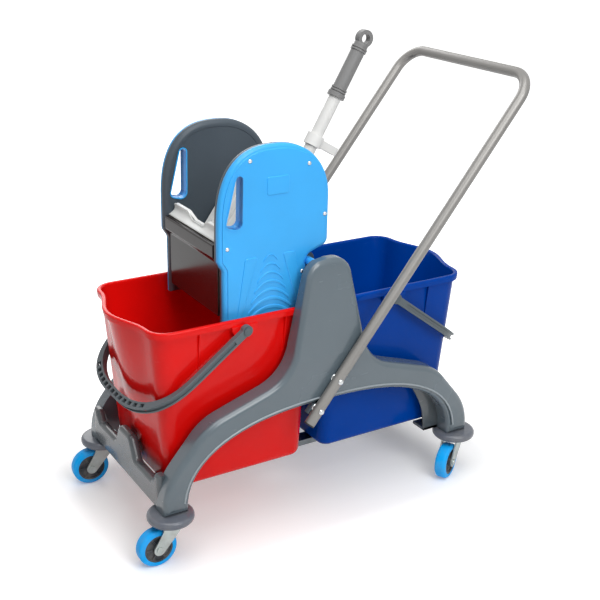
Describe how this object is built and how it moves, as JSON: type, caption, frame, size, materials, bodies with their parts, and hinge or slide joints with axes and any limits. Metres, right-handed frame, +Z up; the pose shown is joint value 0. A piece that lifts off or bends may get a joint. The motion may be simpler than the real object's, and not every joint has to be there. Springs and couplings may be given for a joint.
{
  "type": "double mop bucket trolley",
  "caption": "Castered cleaning trolley carrying a red and a blue mop bucket with swinging bails, a lever press wringer over the red one and a bent tube push handle.",
  "frame": {"origin": "on the floor, under the middle of the whole trolley's box", "axes": "+Z up; +X towards the push handle and the blue bucket; +Y towards the right hand of a person who pushes the trolley towards -X"},
  "size_m": [0.8397, 0.4202, 0.9171],
  "materials": {
    "chassis_grey": "fine moulded grain",
    "bright_steel": "bright zinc plate",
    "painted_tube": "grey metallic paint",
    "black_plastic": "moulded",
    "bolt_chrome": "bright",
    "bumper_rubber": "smooth",
    "zinc": "satin zinc plate",
    "hub_plastic": "moulded",
    "tyre_blue": "satin",
    "red_plastic": "gloss",
    "blue_plastic": "gloss",
    "bail_grey": "moulded",
    "cover_blue": "satin",
    "plate_grey": "moulded",
    "wall_dark": "gloss",
    "white_plastic": "satin",
    "lever_paint": "white powder coat",
    "grip_grey": "ribbed"
  },
  "bodies": {
    "chassis": {"left_side_panel": "chassis_grey", "right_side_panel": "chassis_grey", "front_end_panel": "chassis_grey", "rear_end_panel": "chassis_grey", "centre_beam": "chassis_grey", "base_rails": "bright_steel", "tower_crossbar": "bright_steel", "caster_stems": "bright_steel", "caster_races": "bright_steel", "press_shaft": "bright_steel", "push_handle": "painted_tube", "handle_plugs": "black_plastic", "handle_bolts": "bolt_chrome", "cover_screws": "bolt_chrome", "caster_bumpers": "bumper_rubber", "red_bucket": "red_plastic", "blue_bucket": "blue_plastic", "red_bail_pins": "bail_grey", "blue_bail_pins": "bail_grey", "left_cover": "cover_blue", "right_cover": "cover_blue", "hanger_pins": "cover_blue", "left_inner_plate": "plate_grey", "right_inner_plate": "plate_grey", "wringer_rear_wall": "plate_grey", "wringer_front_wall": "wall_dark", "drain_floor": "white_plastic", "front_jaw": "white_plastic"},
    "caster_front_left": {"fork_front_left": "zinc", "axle_front_left": "bright_steel"},
    "wheel_front_left": {"hub_front_left": "hub_plastic", "tyre_front_left": "tyre_blue"},
    "caster_front_right": {"fork_front_right": "zinc", "axle_front_right": "bright_steel"},
    "wheel_front_right": {"hub_front_right": "hub_plastic", "tyre_front_right": "tyre_blue"},
    "caster_rear_left": {"fork_rear_left": "zinc", "axle_rear_left": "bright_steel"},
    "wheel_rear_left": {"hub_rear_left": "hub_plastic", "tyre_rear_left": "tyre_blue"},
    "caster_rear_right": {"fork_rear_right": "zinc", "axle_rear_right": "bright_steel"},
    "wheel_rear_right": {"hub_rear_right": "hub_plastic", "tyre_rear_right": "tyre_blue"},
    "red_bail": {"red_bail": "bail_grey"},
    "blue_bail": {"blue_bail": "bail_grey"},
    "press_lever": {"lever_hub": "plate_grey", "moving_jaw": "white_plastic", "lever_tube": "lever_paint", "lever_grip": "grip_grey", "lever_clip": "white_plastic"}
  },
  "joints": [
    {"name": "swivel_front_left", "type": "hinge", "parent": "chassis", "child": "caster_front_left", "pos_m": [-0.35225, -0.1655, 0.08], "axis": [0, 0, 1], "continuous": true},
    {"name": "roll_front_left", "type": "hinge", "parent": "caster_front_left", "child": "wheel_front_left", "pos_m": [-0.38225, -0.1655, 0.0375], "axis": [0, -1, 0], "continuous": true},
    {"name": "swivel_front_right", "type": "hinge", "parent": "chassis", "child": "caster_front_right", "pos_m": [-0.35225, 0.1655, 0.08], "axis": [0, 0, 1], "continuous": true},
    {"name": "roll_front_right", "type": "hinge", "parent": "caster_front_right", "child": "wheel_front_right", "pos_m": [-0.38218, 0.16759, 0.0375], "axis": [-0.0698, -0.9976, 0], "continuous": true},
    {"name": "swivel_rear_left", "type": "hinge", "parent": "chassis", "child": "caster_rear_left", "pos_m": [0.30675, -0.1655, 0.08], "axis": [0, 0, 1], "continuous": true},
    {"name": "roll_rear_left", "type": "hinge", "parent": "caster_rear_left", "child": "wheel_rear_left", "pos_m": [0.28051, -0.18004, 0.0375], "axis": [0.4848, -0.8746, 0], "continuous": true},
    {"name": "swivel_rear_right", "type": "hinge", "parent": "chassis", "child": "caster_rear_right", "pos_m": [0.30675, 0.1655, 0.08], "axis": [0, 0, 1], "continuous": true},
    {"name": "roll_rear_right", "type": "hinge", "parent": "caster_rear_right", "child": "wheel_rear_right", "pos_m": [0.27691, 0.16236, 0.0375], "axis": [0.1045, -0.9945, 0], "continuous": true},
    {"name": "red_bail_swing", "type": "hinge", "parent": "chassis", "child": "red_bail", "pos_m": [-0.18875, 0, 0.423], "axis": [0, 1, 0], "range_deg": [0, 108]},
    {"name": "blue_bail_swing", "type": "hinge", "parent": "chassis", "child": "blue_bail", "pos_m": [0.14325, 0, 0.423], "axis": [0, -1, 0], "range_deg": [0, 126]},
    {"name": "press_stroke", "type": "hinge", "parent": "chassis", "child": "press_lever", "pos_m": [-0.07075, 0, 0.52], "axis": [0, -1, 0], "range_deg": [0, 55]}
  ]
}
